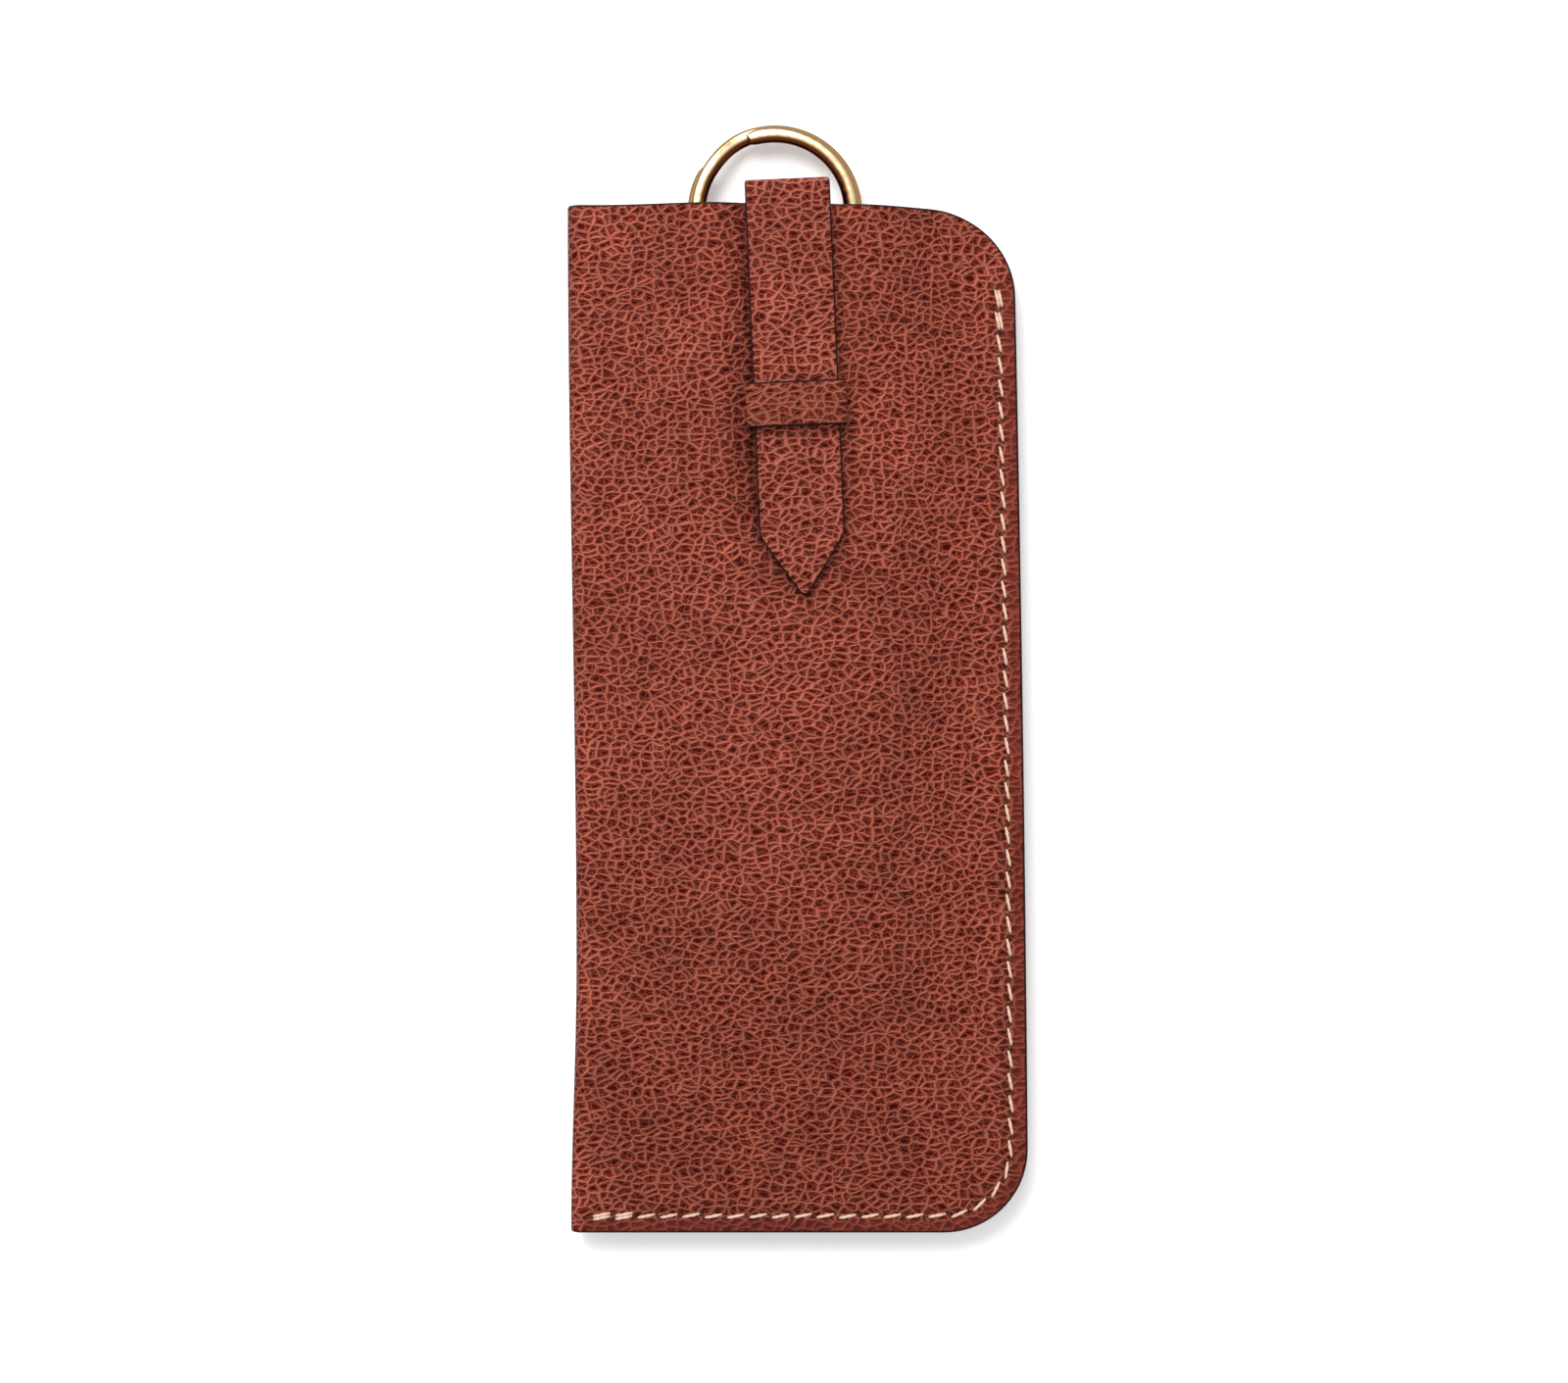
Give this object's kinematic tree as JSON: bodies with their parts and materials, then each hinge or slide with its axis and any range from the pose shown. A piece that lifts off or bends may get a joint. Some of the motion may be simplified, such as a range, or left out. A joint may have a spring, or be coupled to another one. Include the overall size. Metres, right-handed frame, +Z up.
{
  "type": "soft pouch glasses case",
  "caption": "Folded and stitched leather pouch for glasses, open at one end, closed by a strap tucked under a keeper, with a split ring at the mouth.",
  "frame": {"origin": "on the table, under the middle of the whole object's box, with the pouch lying on its back", "axes": "+Y along the pouch to its mouth and ring, +X to the sewn long side, +Z up out of the front with the strap"},
  "size_m": [0.0787, 0.1897, 0.0196],
  "materials": {
    "leather": "pebbled brick-red leather with dark painted edges",
    "lining": "short-napped brown suede",
    "thread": "waxed cream thread",
    "ring": "polished pale gold plate"
  },
  "bodies": {
    "case": {"outer_leather": "leather", "lining": "lining", "strap_root": "leather", "keeper": "leather", "seam_thread_front": "thread", "seam_thread_back": "thread", "root_thread_outside": "thread", "root_thread_inside": "thread"},
    "upper_link": {"strap_upper": "leather"},
    "lower_link": {"strap_lower": "leather"},
    "tongue": {"strap_tongue": "leather"},
    "ring": {"split_ring": "ring"}
  },
  "joints": [
    {"name": "strap_bow", "type": "hinge", "parent": "case", "child": "upper_link", "pos_m": [-0.00181, 0.08363, 0.017], "axis": [-0.9991, -0.0427, 0], "range_deg": [0, 88]},
    {"name": "strap_knee", "type": "hinge", "parent": "upper_link", "child": "lower_link", "pos_m": [-0.001, 0.06475, 0.0162], "axis": [-0.9991, -0.0427, 0], "range_deg": [-176, 0]},
    {"name": "strap_guide", "type": "hinge", "parent": "lower_link", "child": "tongue", "pos_m": [-0.00019, 0.04586, 0.017], "axis": [-0.9991, -0.0427, 0], "range_deg": [0, 88]},
    {"name": "ring_turn", "type": "hinge", "parent": "case", "child": "ring", "pos_m": [-0.0039, 0.07985, 0.0038], "axis": [0, 0, 1], "continuous": true}
  ],
  "couplings": [
    {"joint": "strap_knee", "follows": "strap_bow", "ratio": -2},
    {"joint": "strap_guide", "follows": "strap_bow", "ratio": 1}
  ]
}
